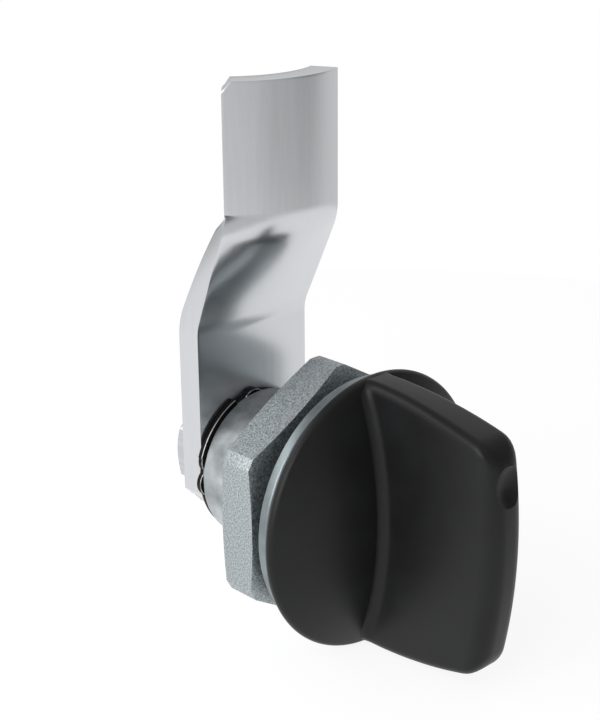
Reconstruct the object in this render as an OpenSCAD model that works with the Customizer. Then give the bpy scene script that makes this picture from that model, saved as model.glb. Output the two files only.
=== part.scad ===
// Quarter-turn cam latch with a wing knob, for a panel or a door of sheet metal.
// The latch axis runs along Y: the knob faces -Y, the cam hangs on the back at +Y and points up (+Z).
// The origin is the centre of the seat on the back of the flange, where the panel lies.

/* [Housing] */
// Diameter of the round flange in front of the panel
flange_d = 29; // [26:0.1:32]
// Thickness of the flange
flange_t = 1.3; // [1.2:0.1:3]
// Chamfer on the front edge of the flange
flange_chamfer = 0.3; // [0.2:0.1:1]
// Diameter of the sleeve that passes through the panel
sleeve_d = 17.6; // [16:0.1:19]
// Length of the sleeve behind the panel seat
sleeve_len = 15.7; // [12:0.1:30]
// Chamfer on the back end of the sleeve
sleeve_chamfer = 0.3; // [0.1:0.1:0.6]

/* [Panel seal] */
// Width of the flat seal's ring, which is let into the back of the flange
seal_w = 2.4; // [1.5:0.1:3]
// Thickness of the flat seal
seal_t = 0.6; // [0.5:0.1:1]

/* [Hexagon nut] */
// Width of the nut across its flats
nut_af = 27; // [25:0.1:32]
// Thickness of the nut
nut_t = 4.7; // [3.5:0.1:7]
// Diameter that the nut's corners are turned down to
nut_corner_d = 30.4; // [29.5:0.1:36]
// How far the nut's corners are chamfered back on each side
nut_chamfer = 0.4; // [0.2:0.05:1]
// Space between flange and nut, which takes the panel
panel_grip = 2.05; // [1:0.05:5]

/* [Spindle] */
// Diameter of the spindle's journal in the sleeve
journal_d = 10; // [9.5:0.1:11]
// Width of the square that drives the cam
square_w = 7; // [6:0.1:7.5]
// Width of the square head that is moulded into the knob
head_w = 12; // [11:0.1:13]
// Thickness of that head
head_t = 2.2; // [1.5:0.1:2.5]
// Thickness of the O-ring's cord
ring_cord = 1.3; // [1:0.1:1.6]
// Distance of the O-ring behind the panel seat
ring_y = 5; // [3:0.1:8]

/* [Wing knob] */
// Diameter of the knob's round base
knob_d = 31.2; // [29:0.1:36]
// Height of the dome at the middle of the base, from the knob's back face
dome_h = 4.25; // [3.8:0.05:6]
// Radius of the base's rounded rim
rim_r = 0.7; // [0.5:0.02:1.2]
// Height of the wing where it stands on the base
wing_root_h = 31; // [27:0.1:31]
// Height of the wing at its front
wing_front_h = 26.6; // [22:0.1:30]
// Distance of the wing's front from the panel seat
wing_reach = 21.4; // [18:0.1:28]
// Thickness of the wing at its waist, next to the base
wing_waist_t = 4.2; // [3:0.1:4.8]
// Thickness of the wing near its front edge
wing_front_t = 5; // [4:0.1:6]
// Radius of the hollow fillet between wing and dome
wing_fillet = 1.15; // [0.8:0.05:3]
// Radius of the wing's rounded front edges
wing_edge_r = 1.9; // [0.8:0.1:2.2]
// Radius of the wing's rounded upper and lower edges
wing_top_r = 1.1; // [0.6:0.1:1.5]
// Radius of the wing's two front corners, seen from the side
wing_corner_r = 3; // [2:0.1:4]
// How far the front edge bulges
wing_bulge = 1.5; // [0:0.1:2]
// Height above the latch axis at which the front edge stands out most
wing_bulge_z = 1.5; // [0:0.1:3]
// Height of the hollow pointer mark in the front edge
dimple_h = 4.4; // [3:0.1:5]
// Depth of the pointer mark
dimple_depth = 0.8; // [0.4:0.1:1.2]
// Height of the pointer mark above the latch axis
dimple_z = 8.9; // [6:0.1:9.4]

/* [Stop disc] */
// Thickness of the disc between sleeve and cam
disc_t = 0.65; // [0.5:0.05:1.5]
// Diameter of the disc away from its raised sector
disc_d = 17; // [16.4:0.1:17.6]
// Diameter of the raised sector
sector_d = 18.2; // [17.8:0.1:19.4]
// Angle from straight up to the start of the raised sector
sector_from = 22; // [18:1:30]
// Angle from straight up to the end of the raised sector
sector_to = 72; // [66:1:76]
// Diameter over the tips of the teeth
tooth_d = 18; // [17.6:0.1:20]
// Radius of a tooth's round tip
tooth_r = 1.7; // [1.2:0.1:2.5]
// Angle from straight up to the stop lug on the sleeve's end
lug_at = 3; // [0:1:20]
// Angle that the cam turns through between its two stops
turn_angle = 90; // [60:1:120]

/* [Cam] */
// Width of the cam
cam_w = 16.3; // [15:0.1:18]
// Thickness of the cam's sheet
cam_t = 3.15; // [2:0.05:4]
// Distance from the latch axis to the cam's tip
cam_reach = 45.1; // [40:0.1:60]
// How far the tip is set forward of the part on the spindle
cam_jog = 5.6; // [3:0.1:7]
// Height above the latch axis at which the ramp starts
ramp_start = 17.8; // [15:0.1:22]
// Slope of the ramp from the cam's length
ramp_angle = 26; // [20:1:35]
// Radius of the two bends, at the middle of the sheet
bend_r = 6; // [4:0.1:8]
// Half of the angle that the crowned tip curves through across its width
crown_angle = 35; // [10:1:40]
// Angle that the crowned tip is turned by, so that its leading edge lies further back
crown_turn = 9; // [0:1:15]
// Flat width of the sheet at the tip
tip_w = 13.95; // [12:0.05:18]
// Distance of the tip's trailing edge from the latch axis, at the middle of the sheet
tip_edge = 7.5; // [6:0.1:9]
// Chamfer on the tip's leading corner
tip_chamfer = 1.1; // [0.5:0.1:2]
// Distance from the latch axis down to where the lower corners are cut off
tail_shoulder = 2.1; // [1:0.1:4]
// Distance from the latch axis down to the cam's lower end
tail_len = 7.6; // [6.5:0.1:10]

/* [Cam screw] */
// Thread diameter of the screw
screw_d = 6; // [5:0.1:6]
// Length of the screw's shank in the spindle
screw_len = 9; // [6:0.1:12]
// Width of the screw's hexagon head across its flats
screw_head_af = 10; // [9:0.5:11]
// Height of the hexagon head
screw_head_h = 4.3; // [3:0.1:5]
// How far the head's corners are chamfered on its back
screw_chamfer = 0.5; // [0.2:0.05:0.8]
// Outer diameter of the lock washer under the head
washer_d = 11; // [10:0.1:12]
// Thickness of the lock washer
washer_t = 0.7; // [0.5:0.1:1.6]
// Number of teeth round the lock washer
washer_teeth = 12; // [8:1:16]

/* [Clearances] */
// Radial clearance of the turning journal in the sleeve
running_gap = 0.05; // [0.02:0.01:0.1]
// Axial clearance between fixed and turning pieces
end_gap = 0.06; // [0.04:0.01:0.15]
// Space between the knob and the flange
knob_gap = 0.6; // [0.2:0.05:0.8]
// Clearance of pieces that are screwed, pressed or moulded together
seat_gap = 0.02; // [0.01:0.01:0.05]
// Clearance of the cam and the stop disc on the square
square_gap = 0.05; // [0.02:0.01:0.15]

/* [Hidden] */
$fn = 96;

// Places along the latch axis
knob_back = flange_t + knob_gap;
disc_y = sleeve_len + end_gap;
cam_y = disc_y + disc_t + seat_gap;
washer_y = cam_y + cam_t + seat_gap;
screw_head_y = washer_y + washer_t + seat_gap;
square_end = cam_y + cam_t - end_gap;

// Width of the O-ring's groove in cords, depth drilled past the screw's end, play of the lock washer
groove_room = 1.3;
drill_over = 1.5;
washer_play = 0.08;

// Radii that follow from a mating piece
seal_r = sleeve_d / 2 + seal_w;
bore_r = journal_d / 2 + running_gap;
ring_groove_r = journal_d / 2 - ring_cord - seat_gap;
ring_groove_w = groove_room * ring_cord;
tapped_r = screw_d / 2 + seat_gap;
tapped_depth = screw_len + drill_over;

// Quarter-turn stop: a lug on the sleeve's end runs in a slot in the disc
lug_angle = 10;
lug_play = 1.5;
lug_wall = 0.9;
lug_t = 1.3;
lug_in_r = bore_r + lug_wall;
lug_out_r = lug_in_r + lug_t;
slot_gap = 0.2;
lug_h = disc_t - end_gap;

// Teeth round the stop disc, counted from straight up over the left
tooth_angles = [4, 72, 93];

// Share of the lock washer's edge that the gaps between its teeth take
gullet_share = 0.4;

// The dome is a cap of a sphere that runs into the rounded rim
knob_r = knob_d / 2;
rim_c_r = knob_r - rim_r;
cap_rise = dome_h - rim_r;
cap_r = (pow(rim_c_r, 2) + pow(cap_rise, 2) - pow(rim_r, 2)) / (2 * (cap_rise - rim_r));
cap_c = dome_h - cap_r;
rim_angle = asin(rim_c_r / (cap_r - rim_r));

// Fineness of the lofted forms
corner_steps = 4;
side_steps = 14;
bend_steps = 5;
ramp_steps = 8;
crown_steps = 12;

// The cam's bends in the side view
bend_run = bend_r * tan(ramp_angle / 2);
ramp_top = ramp_start + cam_jog / tan(ramp_angle);
crown_from = ramp_start - bend_run;
crown_to = ramp_top + 2 * bend_run;
big = 100;
cut_over = 1;

function lerp(a, b, f) = a + (b - a) * f;
function clamp01(f) = min(1, max(0, f));
function smooth(f) = f * f * (3 - 2 * f);

// Faces of a loft over rings of 2 * half points; the two halves of a ring mirror each other.
function ladder(at, half) = [for (i = [0:half - 2])
    [at + i, at + i + 1, at + 2 * half - 2 - i, at + 2 * half - 1 - i]];
function flipped(faces) = [for (f = faces) [for (i = [len(f) - 1:-1:0]) f[i]]];
function loft_sides(rings, count) = [for (j = [0:rings - 2], i = [0:count - 1], half = [0, 1])
    let (a = j * count + i, b = j * count + (i + 1) % count)
        half == 0 ? [a, a + count, b] : [b, a + count, b + count]];
function loft_faces(rings, half) = concat(
    ladder(0, half),
    loft_sides(rings, 2 * half),
    flipped(ladder((rings - 1) * 2 * half, half)));

module loft(rings) {
    polyhedron(
        points = [for (ring = rings) each ring],
        faces = loft_faces(len(rings), len(rings[0]) / 2),
        convexity = 6);
}

// Turns a shape made along Z so that it runs along the latch axis, from y towards the back
module axial(y = 0) {
    translate([0, y, 0])
        rotate([-90, 0, 0])
            children();
}

// Direction in the plane of a disc, at an angle counted from straight up over the left
function on_circle(angle) = [-sin(angle), -cos(angle)];

// Wedge in the plane of a disc, from one angle to another
module wedge(from, to, r) {
    steps = 6;
    polygon(concat([[0, 0]], [for (i = [0:steps])
        let (a = lerp(from, to, i / steps))
            2 * r * on_circle(a)]));
}

// Hexagon bar with flats to the left and right
module hexagon(af, h) {
    rotate(30)
        cylinder(r = af / 2 / cos(30), h = h, $fn = 6);
}

module ring_2d(outer, inner) {
    difference() {
        circle(r = outer);
        circle(r = inner);
    }
}

// Housing: flange, sleeve and stop lug in one casting
module stop_lug() {
    linear_extrude(lug_h + sleeve_chamfer)
        intersection() {
            ring_2d(lug_out_r, lug_in_r);
            wedge(lug_at - lug_angle / 2, lug_at + lug_angle / 2, lug_out_r);
        }
}

module housing() {
    color("#b4b8bc")
        difference() {
            union() {
                axial(-flange_t)
                    cylinder(d1 = flange_d - 2 * flange_chamfer, d2 = flange_d, h = flange_chamfer);
                axial(flange_chamfer - flange_t)
                    cylinder(d = flange_d, h = flange_t - flange_chamfer);
                axial(-flange_t / 2)
                    cylinder(d = sleeve_d, h = sleeve_len - sleeve_chamfer + flange_t / 2);
                axial(sleeve_len - sleeve_chamfer)
                    cylinder(d1 = sleeve_d, d2 = sleeve_d - 2 * sleeve_chamfer, h = sleeve_chamfer);
                axial(sleeve_len - sleeve_chamfer)
                    stop_lug();
            }
            axial(-2 * flange_t)
                cylinder(r = bore_r, h = sleeve_len + 4 * flange_t);
            axial(-seal_t)
                linear_extrude(2 * seal_t)
                    ring_2d(seal_r, sleeve_d / 2);
        }
}

module panel_seal() {
    color("#202224")
        axial(seat_gap - seal_t)
            linear_extrude(seal_t - 2 * seat_gap)
                ring_2d(seal_r - seat_gap, sleeve_d / 2 + seat_gap);
}

module hex_nut() {
    color("#9a9ea1")
        axial(panel_grip)
            difference() {
                intersection() {
                    hexagon(nut_af, nut_t);
                    rotate_extrude()
                        polygon([[0, 0],
                                 [nut_af / 2, 0],
                                 [nut_corner_d / 2, nut_chamfer],
                                 [nut_corner_d / 2, nut_t - nut_chamfer],
                                 [nut_af / 2, nut_t],
                                 [0, nut_t]]);
                }
                translate([0, 0, -nut_t])
                    cylinder(r = sleeve_d / 2 + seat_gap, h = 3 * nut_t);
            }
}

// Spindle: moulded-in head, journal with a groove, square with a tapped hole
module spindle() {
    color("#a9adb2")
        difference() {
            union() {
                axial(-knob_back - head_t)
                    translate([-head_w / 2, -head_w / 2, 0])
                        cube([head_w, head_w, head_t]);
                axial(-knob_back)
                    cylinder(d = journal_d, h = knob_back + disc_y - seat_gap);
                axial(disc_y - cut_over)
                    translate([-square_w / 2, -square_w / 2, 0])
                        cube([square_w, square_w, square_end - disc_y + cut_over]);
            }
            axial(ring_y - ring_groove_w / 2)
                linear_extrude(ring_groove_w)
                    ring_2d(journal_d, ring_groove_r);
            axial(square_end - tapped_depth)
                cylinder(r = tapped_r, h = 2 * tapped_depth);
        }
}

module shaft_o_ring() {
    color("#202224")
        axial(ring_y)
            rotate_extrude()
                translate([ring_groove_r + (ring_cord + seat_gap) / 2, 0])
                    circle(d = ring_cord - seat_gap, $fn = 32);
}

// Wing knob: domed base, waisted wing in hollow fillets, ball-shaped pointer mark
module dome_profile() {
    intersection() {
        translate([0, cap_c])
            circle(r = cap_r, $fn = 192);
        polygon([[0, cap_c], [0, 2 * cap_r], [2 * cap_r * tan(rim_angle), cap_c + 2 * cap_r]]);
        square([big, big]);
    }
    translate([rim_c_r, rim_r])
        circle(r = rim_r, $fn = 48);
    square([rim_c_r, rim_r + rim_r * cos(rim_angle)]);
}

module base_dome() {
    translate([0, -knob_back, 0])
        rotate([90, 0, 0])
            intersection() {
                rotate_extrude()
                    intersection() {
                        dome_profile();
                        square([big, big]);
                    }
                cylinder(r = big, h = big);
            }
}

// How far the dome stands in front of the panel seat at a distance r from the axis
function dome_at(r) = knob_back + (r < cap_r * sin(rim_angle)
    ? cap_c + sqrt(cap_r * cap_r - r * r)
    : rim_r + sqrt(max(0, rim_r * rim_r - pow(min(r, knob_r) - rim_c_r, 2))));
function front_at(z) = wing_reach - wing_bulge * pow(2 * (z - wing_bulge_z) / wing_front_h, 2);

// Depth lost to a rounded edge of radius r at a distance d from its end
function round_loss(r, d) = d >= r ? 0 : r - sqrt(r * r - pow(r - d, 2));

// The wing's upper and lower edges bow outwards: its height falls off faster towards the front.
// Its edges are rounded over no more than this share of its half thickness.
wing_taper = 1.7;
edge_share = 0.8;

// The rounding of a front corner starts along the slope that the edge has there
wing_fall = wing_taper * (wing_root_h - wing_front_h) / 2;
wing_run = front_at(wing_front_h / 2) - wing_corner_r - wing_fillet - dome_at(wing_front_h / 2);
corner_run = wing_corner_r * (1 - sin(atan2(wing_fall, wing_run)));

// Rings of the wing, as [share of the way from dome to front, height over the dome, distance to the front]
wing_levels = concat(
    [for (f = [0.04, 0.12, 0.25, 0.45, 0.7, 1]) [0, f * wing_fillet, 0]],
    [for (f = [0.3, 0.6, 0.85]) [f, wing_fillet, corner_run]],
    [for (f = [1, 0.6, 0.38, 0.2, 0.07, 0]) [1, 0, f * corner_run]]);

function wing_half_t(level) = lerp(wing_waist_t, wing_front_t, smooth(level[0])) / 2
    + (level[0] == 0 ? round_loss(wing_fillet, level[1]) : 0)
    - (level[0] == 1 ? round_loss(wing_edge_r, level[2]) : 0);
function wing_half_h(level) = lerp(wing_root_h, wing_front_h, pow(level[0], wing_taper)) / 2
    - (level[0] == 1 ? round_loss(wing_corner_r, level[2]) - round_loss(wing_corner_r, corner_run) : 0);

// The fillet runs out over this length towards the wing's two ends, which are flush with the rim
fillet_fade = 4;
function fade(level, half_t, z) = level[0] > 0 ? 1 : lerp(
    wing_waist_t / 2 / half_t,
    1,
    smooth(clamp01((wing_root_h / 2 - abs(z)) / fillet_fade)));

// Left half of a rounded outline, from its top to its bottom, as [x, z]
function wing_half_outline(half_t, half_h, r) = concat(
    [for (i = [0:corner_steps])
        let (a = 90 * (1 - i / corner_steps))
            [r - half_t - r * cos(a), half_h - r + r * sin(a)]],
    [for (i = [1:side_steps - 1]) [-half_t, lerp(half_h - r, r - half_h, i / side_steps)]],
    [for (i = [0:corner_steps])
        let (a = -90 * i / corner_steps)
            [r - half_t - r * cos(a), r - half_h + r * sin(a)]]);
function mirrored_ring(half) = concat(half, [for (i = [len(half) - 1:-1:0]) [-half[i][0], half[i][1]]]);
function wing_depth(level, p) = lerp(
    dome_at(norm(p)) + level[1],
    front_at(p[1]) - level[2],
    level[0]);
function wing_ring(level) =
    let (half_t = wing_half_t(level), r = min(wing_top_r, edge_share * half_t))
        [for (p = mirrored_ring(wing_half_outline(half_t, wing_half_h(level), r)))
            let (q = [p[0] * fade(level, half_t, p[1]), p[1]])
                [q[0], -wing_depth(level, q), q[1]]];
function flat_ring(ring, y) = [for (p = ring) [p[0], y, p[2]]];

module wing() {
    rings = [for (level = wing_levels) wing_ring(level)];
    loft(concat([flat_ring(rings[0], -knob_back - rim_r)], rings));
}

module dimple() {
    ball_r = (pow(dimple_h / 2, 2) + pow(dimple_depth, 2)) / (2 * dimple_depth);
    translate([0, dimple_depth - ball_r - front_at(dimple_z), dimple_z])
        sphere(r = ball_r);
}

module wing_knob() {
    color("#232426")
        difference() {
            union() {
                base_dome();
                wing();
            }
            dimple();
            axial(-knob_back - head_t - seat_gap)
                translate([-head_w / 2 - seat_gap, -head_w / 2 - seat_gap, 0])
                    cube([head_w + 2 * seat_gap, head_w + 2 * seat_gap, 2 * head_t]);
        }
}

// Stop disc: square hole, slot for the stop lug, raised sector and teeth
module sector_2d(from, to, d) {
    intersection() {
        circle(d = d);
        wedge(from, to, d);
    }
}

module stop_disc_2d() {
    slot_half = lug_angle / 2 + lug_play;
    difference() {
        union() {
            circle(d = disc_d);
            sector_2d(sector_from, sector_to, sector_d);
            for (angle = tooth_angles)
                translate((tooth_d / 2 - tooth_r) * on_circle(angle))
                    circle(r = tooth_r);
        }
        square(square_w + 2 * square_gap, center = true);
        intersection() {
            ring_2d(lug_out_r + slot_gap, lug_in_r - slot_gap);
            wedge(lug_at - slot_half, lug_at + turn_angle + slot_half, lug_out_r);
        }
    }
}

module stop_disc() {
    color("#1b1b1d")
        axial(disc_y)
            linear_extrude(disc_t)
                stop_disc_2d();
}

// Cam: bent sheet whose tip is crowned across its width, the crown growing along the ramp
cam_mid_y = cam_y + cam_t / 2;
cam_path = concat(
    [[cam_mid_y, -tail_len, 0]],
    [for (i = [0:bend_steps])
        let (a = ramp_angle * i / bend_steps)
            [cam_mid_y - bend_r * (1 - cos(a)), ramp_start - bend_run + bend_r * sin(a), a]],
    [for (i = [1:ramp_steps - 1])
        let (run = bend_run * cos(ramp_angle),
             z = lerp(ramp_start + run, ramp_top - run, i / ramp_steps))
            [cam_mid_y - (z - ramp_start) * tan(ramp_angle), z, ramp_angle]],
    [for (i = [bend_steps:-1:0])
        let (a = ramp_angle * i / bend_steps)
            [cam_mid_y - cam_jog + bend_r * (1 - cos(a)), ramp_top + bend_run - bend_r * sin(a), a]],
    [for (z = [crown_to, cam_reach]) [cam_mid_y - cam_jog, z, 0]]);

// A point of the sheet: across runs from -1 to 1, off is the distance in front of its middle layer
function sheet_point(station, across, off) =
    let (grow = smooth(clamp01((station[1] - crown_from) / (crown_to - crown_from))),
         crown = max(0.01, crown_angle * grow),
         turn = crown_turn * grow,
         r = lerp(cam_w, tip_w, grow) / 2 / (crown * PI / 180),
         front = (r + off) * cos(crown * across - turn) - r * cos(crown - turn))
        [lerp(cam_w / 2, tip_edge, grow) + (r + off) * sin(crown * across - turn) - r * sin(crown - turn),
         station[0] - front * cos(station[2]),
         station[1] - front * sin(station[2])];
function sheet_half(station, off) = [for (i = [0:crown_steps])
    sheet_point(station, 2 * i / crown_steps - 1, off)];
function backwards(list) = [for (i = [len(list) - 1:-1:0]) list[i]];
function sheet_ring(station) = concat(
    sheet_half(station, cam_t / 2),
    backwards(sheet_half(station, -cam_t / 2)));

// A cut right through the sheet, with its outline seen from the front
module front_cut(outline) {
    translate([0, big / 2, 0])
        rotate([90, 0, 0])
            linear_extrude(big)
                polygon(outline);
}

module tip_cut() {
    corner = sheet_point(cam_path[len(cam_path) - 1], -1, 0);
    translate([corner[0], corner[1], 0])
        rotate(-crown_angle - crown_turn)
            front_cut([[-cut_over, cam_reach - tip_chamfer - cut_over],
                       [tip_chamfer + cut_over, cam_reach + cut_over],
                       [-cut_over, cam_reach + cut_over]]);
}

module tail_cut(side) {
    x = cam_w / 2;
    slope = tail_len - tail_shoulder;
    front_cut([[side * (x + cut_over), cut_over - tail_shoulder],
               [side * (x + cut_over), -tail_len - cut_over],
               [side * (x - slope - cut_over), -tail_len - cut_over]]);
}

module cam() {
    color("#c6cacd")
        difference() {
            loft([for (station = cam_path) sheet_ring(station)]);
            axial(cam_y - cam_t)
                translate([-square_w / 2 - square_gap, -square_w / 2 - square_gap, 0])
                    cube([square_w + 2 * square_gap, square_w + 2 * square_gap, 3 * cam_t]);
            tip_cut();
            for (side = [-1, 1])
                tail_cut(side);
        }
}

// Lock washer with teeth round its edge
module lock_washer() {
    gullet_d = gullet_share * PI * washer_d / washer_teeth;
    color("#a9adb2")
        axial(washer_y)
            linear_extrude(washer_t)
                difference() {
                    circle(d = washer_d);
                    circle(r = screw_d / 2 + washer_play);
                    for (i = [0:washer_teeth - 1])
                        rotate(360 * i / washer_teeth)
                            translate([washer_d / 2, 0])
                                circle(d = gullet_d, $fn = 24);
                }
}

module screw_head() {
    corner_r = screw_head_af / 2 / cos(30);
    intersection() {
        hexagon(screw_head_af, screw_head_h);
        rotate_extrude()
            polygon([[0, 0],
                     [corner_r, 0],
                     [corner_r, screw_head_h - screw_chamfer],
                     [screw_head_af / 2, screw_head_h],
                     [0, screw_head_h]]);
    }
}

module cam_screw() {
    color("#b9bdc1")
        union() {
            axial(screw_head_y)
                screw_head();
            axial(square_end - screw_len)
                cylinder(d = screw_d, h = screw_len + screw_head_y - square_end + screw_head_h / 2);
        }
}

housing();
panel_seal();
hex_nut();
spindle();
shaft_o_ring();
wing_knob();
stop_disc();
cam();
lock_washer();
cam_screw();
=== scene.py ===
"""Looks of a quarter-turn cam latch: a wing knob, a flanged sleeve with its nut, and a cranked cam.

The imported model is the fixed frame: the latch axis is Y, the knob faces -Y and the cam points up.
Lengths are in millimetres, as in the part's source, and become metres where they meet Blender.
"""

import logging
import math
from dataclasses import dataclass
from enum import Enum
from typing import Callable, Iterator, Sequence

import bmesh
import bpy
from mathutils import Matrix, Vector


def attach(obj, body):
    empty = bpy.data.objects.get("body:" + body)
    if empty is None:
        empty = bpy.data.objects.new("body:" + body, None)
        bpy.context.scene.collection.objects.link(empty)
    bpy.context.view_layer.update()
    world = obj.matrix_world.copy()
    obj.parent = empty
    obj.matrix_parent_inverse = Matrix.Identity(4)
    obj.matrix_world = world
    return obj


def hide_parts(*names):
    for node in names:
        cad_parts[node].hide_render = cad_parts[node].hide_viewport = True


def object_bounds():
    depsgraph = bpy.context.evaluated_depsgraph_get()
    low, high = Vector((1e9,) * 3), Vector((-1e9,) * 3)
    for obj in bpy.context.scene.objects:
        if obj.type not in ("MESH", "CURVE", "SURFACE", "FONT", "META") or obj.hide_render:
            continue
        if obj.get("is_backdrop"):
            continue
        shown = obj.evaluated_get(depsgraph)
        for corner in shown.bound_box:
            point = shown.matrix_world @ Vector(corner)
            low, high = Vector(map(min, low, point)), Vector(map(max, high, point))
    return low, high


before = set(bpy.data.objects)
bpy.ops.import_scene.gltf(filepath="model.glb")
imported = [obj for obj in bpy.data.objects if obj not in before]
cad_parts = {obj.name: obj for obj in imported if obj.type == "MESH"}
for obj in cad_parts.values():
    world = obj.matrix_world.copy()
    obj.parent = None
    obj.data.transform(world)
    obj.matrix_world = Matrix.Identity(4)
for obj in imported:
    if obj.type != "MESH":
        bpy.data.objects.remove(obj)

LOG = logging.getLogger("cam_latch")
MM = 0.001
PHOTO_HEIGHT = 720

# How far a cutter stands past what it cuts
CLEAR = 1.0
# How far off a place may be and still count
NEAR = 0.01
# Points that are closer than this are merged
MERGE = 0.002
# Steps across a rounded edge
EDGE_STEPS = 3
# Most values of a pattern lie between these two
PATTERN_LOW, PATTERN_HIGH = 0.3, 0.7
# Share that each finer layer of a cloud keeps
CLOUD_ROUGHNESS = 0.55

Point = tuple[float, float]
Level = tuple[float, float, float]
Colour = tuple[float, float, float, float]
Piece = bpy.types.Object
Tree = bpy.types.NodeTree
Node = bpy.types.Node
Socket = bpy.types.NodeSocket
Test = Callable[[Vector], bool]


class Body(Enum):
    """The two rigid bodies of the latch."""

    HOUSING = "housing"
    ROTOR = "rotor"


class Cut(Enum):
    """What a boolean does with its tool."""

    UNION = "UNION"
    DIFFERENCE = "DIFFERENCE"
    INTERSECT = "INTERSECT"


class Pick(Enum):
    """What a selection in edit mode picks."""

    EDGES = "EDGE"
    FACES = "FACE"


# Small helpers for numbers


def lerp(start: float, end: float, share: float) -> float:
    """Goes a share of the way from start to end."""
    return start + (end - start) * share


def smooth(share: float) -> float:
    """Eases a share in and out."""
    share = min(1.0, max(0.0, share))
    return share * share * (3.0 - 2.0 * share)


def round_loss(radius: float, distance: float) -> float:
    """Gives the depth that a rounded edge loses at a distance from its end.

    Args:
        radius: Radius of the edge.
        distance: Distance from the end of the edge.

    Returns:
        The depth that is missing there.
    """
    if distance >= radius:
        return 0.0
    return radius - math.sqrt(radius**2 - (radius - distance) ** 2)


def arc(centre: Point, radius: float, start: float, end: float, steps: int) -> list[Point]:
    """Lists points on an arc.

    Args:
        centre: Centre of the arc.
        radius: Radius of the arc.
        start: First angle in degrees.
        end: Last angle in degrees.
        steps: Number of steps between the two.

    Returns:
        The points, from start to end.
    """
    angles = [math.radians(lerp(start, end, i / steps)) for i in range(steps + 1)]
    return [(centre[0] + radius * math.cos(a), centre[1] + radius * math.sin(a)) for a in angles]


def linear(hex_code: str) -> Colour:
    """Turns an sRGB hex value into linear colour, by the curve of that standard.

    Args:
        hex_code: The colour, such as #808080.

    Returns:
        Red, green and blue, with full alpha.
    """
    shares = [int(hex_code[i : i + 2], 16) / 255.0 for i in (1, 3, 5)]
    red, green, blue = [s / 12.92 if s <= 0.04045 else ((s + 0.055) / 1.055) ** 2.4 for s in shares]
    return red, green, blue, 1.0


# Small helpers for modelling


def deselect() -> None:
    """Leaves nothing selected, in object mode."""
    if bpy.context.mode != "OBJECT":
        bpy.ops.object.mode_set(mode="OBJECT")
    bpy.ops.object.select_all(action="DESELECT")


def take(piece: Piece) -> None:
    """Selects one piece alone and makes it active."""
    deselect()
    bpy.context.view_layer.objects.active = piece
    piece.select_set(True)


def placed(name: str) -> Piece:
    """Names the primitive that was just added and moves its place into its mesh.

    Args:
        name: Name of the new object.

    Returns:
        The object.
    """
    piece = bpy.context.object
    piece.name = name
    bpy.ops.object.transform_apply(location=True, rotation=True, scale=True)
    return piece


def metres(*lengths: float) -> tuple[float, ...]:
    """Turns millimetres into metres."""
    return tuple(length * MM for length in lengths)


def select_where(test: Test, kind: Pick) -> None:
    """Selects the edges or faces of the mesh in edit mode whose middle passes a test.

    Args:
        test: Takes a place in millimetres and says whether it counts.
        kind: Whether edges or faces are picked.
    """
    bpy.ops.mesh.select_mode(type=kind.value)
    bpy.ops.mesh.select_all(action="DESELECT")
    mesh = bmesh.from_edit_mesh(bpy.context.edit_object.data)
    for item in mesh.edges if kind is Pick.EDGES else mesh.faces:
        middle = sum((vert.co for vert in item.verts), Vector()) / len(item.verts)
        if test(middle / MM):
            item.select_set(True)
    mesh.select_flush_mode()
    bmesh.update_edit_mesh(bpy.context.edit_object.data)


def lay_selected(place: Callable[[Vector], Vector]) -> None:
    """Moves each selected vertex of the mesh in edit mode to the place that a rule gives it.

    Args:
        place: Takes a vertex's place in millimetres and gives its new one.
    """
    mesh = bmesh.from_edit_mesh(bpy.context.edit_object.data)
    for vert in mesh.verts:
        if vert.select:
            vert.co = place(vert.co / MM) * MM
    bmesh.update_edit_mesh(bpy.context.edit_object.data)


def close_mesh() -> None:
    """Merges doubles and turns all faces of the mesh in edit mode outwards, then leaves edit mode."""
    bpy.ops.mesh.select_all(action="SELECT")
    bpy.ops.mesh.remove_doubles(threshold=MERGE * MM)
    bpy.ops.mesh.normals_make_consistent(inside=False)
    bpy.ops.object.mode_set(mode="OBJECT")


def turned(name: str, profile: Sequence[Point], steps: int) -> Piece:
    """Turns a profile round the latch axis, as on a lathe.

    Args:
        name: Name of the new object.
        profile: Points as (radius, y), in order.
        steps: Number of steps in the full turn.

    Returns:
        The closed object.
    """
    deselect()
    radius, y = profile[0]
    bpy.ops.mesh.primitive_plane_add(size=MM, location=metres(radius, y, 0.0))
    piece = placed(name)
    bpy.ops.object.mode_set(mode="EDIT")
    bpy.ops.mesh.select_mode(type="VERT")
    bpy.ops.mesh.select_all(action="SELECT")
    bpy.ops.mesh.merge(type="CENTER")
    for (r0, y0), (r1, y1) in zip(profile, profile[1:]):
        step = metres(r1 - r0, y1 - y0, 0.0)
        bpy.ops.mesh.extrude_region_move(TRANSFORM_OT_translate={"value": step})
    bpy.ops.mesh.select_all(action="SELECT")
    bpy.ops.mesh.spin(steps=steps, angle=math.tau, center=(0, 0, 0), axis=(0, 1, 0))
    close_mesh()
    return piece


def prism(name: str, sides: int, radius: float, start: float, end: float) -> Piece:
    """Adds a regular prism along the latch axis, with a corner at the top.

    Args:
        name: Name of the new object.
        sides: Number of its sides.
        radius: Radius over its corners.
        start: Where it starts along the axis.
        end: Where it ends.

    Returns:
        The object, with its place in its mesh.
    """
    deselect()
    bpy.ops.mesh.primitive_cylinder_add(
        vertices=sides,
        radius=radius * MM,
        depth=(end - start) * MM,
        location=metres(0.0, (start + end) / 2.0, 0.0),
        rotation=(math.pi / 2.0, 0.0, 0.0),
    )
    return placed(name)


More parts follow.
